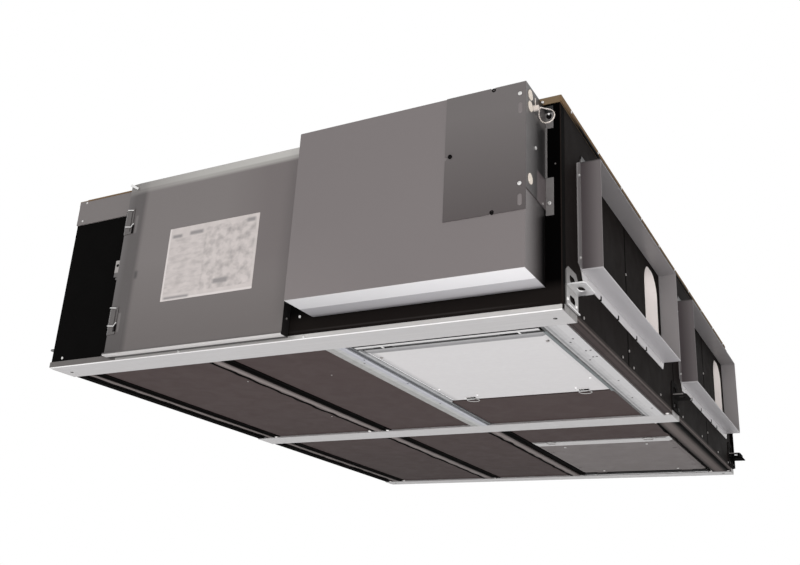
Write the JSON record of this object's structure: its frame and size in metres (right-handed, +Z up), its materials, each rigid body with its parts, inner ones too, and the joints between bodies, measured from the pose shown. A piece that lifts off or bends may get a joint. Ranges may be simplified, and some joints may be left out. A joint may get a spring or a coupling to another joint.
{
  "type": "ceiling air handling unit",
  "caption": "Flat ceiling air handling unit: insulated casing on galvanised rails, duct collars on both sides, front control box and hinged bottom access doors.",
  "frame": {"origin": "middle of the casing's footprint, on the underside of the rails", "axes": "+X to the right seen from the front with the control box, +Y to the back, +Z up"},
  "size_m": [1.56, 2.099, 0.505],
  "materials": {
    "galvanised_sheet": "spangled zinc",
    "black_foam": "matt closed-cell foam",
    "brown_panel": "satin coated sheet",
    "grey_paint": "satin powder coat",
    "top_sheet": "satin coated sheet with a tan edge",
    "black_rubber": "matt",
    "strip_grey": "satin",
    "pale_sheet": "satin zinc",
    "door_grey": "satin coated sheet",
    "bright_wire": "bright zinc wire",
    "collar_grey": "satin coated sheet",
    "white_foam": "pale moulded foam",
    "dark_grey_paint": "satin powder coat",
    "cream_plastic": "matt",
    "tie_plastic": "nylon"
  },
  "bodies": {
    "casing": {"front_rail": "galvanised_sheet", "mid_rail": "galvanised_sheet", "rear_rail": "galvanised_sheet", "front_wall": "black_foam", "rear_wall": "black_foam", "right_wall_front": "black_foam", "right_wall_front_port": "black_foam", "right_wall_rear": "black_foam", "right_wall_rear_port": "black_foam", "left_wall_front": "black_foam", "left_wall_front_port": "black_foam", "left_wall_rear": "black_foam", "left_wall_rear_port": "black_foam", "top_panels": "top_sheet", "floor_front_left": "brown_panel", "floor_front_centre": "brown_panel", "floor_front_right": "brown_panel", "floor_rear_left": "brown_panel", "floor_rear_centre": "brown_panel", "floor_rear_right": "brown_panel", "seam_gaskets": "black_rubber", "seam_strips": "strip_grey", "right_sill": "brown_panel", "door_frame": "galvanised_sheet", "hinge_rods": "galvanised_sheet", "right_collar_front": "collar_grey", "right_collar_rear": "collar_grey", "left_collar_front": "collar_grey", "left_collar_rear": "collar_grey", "duct_liners": "white_foam", "control_box_body": "grey_paint", "control_box_cover": "grey_paint", "control_box_access_cover": "dark_grey_paint", "control_box_ears": "galvanised_sheet", "knockout_plugs": "cream_plastic", "cable_tie": "tie_plastic", "front_cover": "grey_paint", "front_cover_latches": "bright_wire", "front_top_strip": "grey_paint", "hanging_brackets": "galvanised_sheet"},
    "front_door": {"front_door": "pale_sheet", "front_door_rings": "bright_wire"},
    "rear_door": {"rear_door": "door_grey", "rear_door_latch_strip": "galvanised_sheet", "rear_door_rings": "bright_wire"}
  },
  "joints": [
    {"name": "front_door_hinge", "type": "hinge", "parent": "casing", "child": "front_door", "pos_m": [0.409, -0.862, 0.007], "axis": [-1, 0, 0], "range_deg": [0, 90]},
    {"name": "rear_door_hinge", "type": "hinge", "parent": "casing", "child": "rear_door", "pos_m": [0.418, 0.897, 0.007], "axis": [1, 0, 0], "range_deg": [0, 90]}
  ]
}
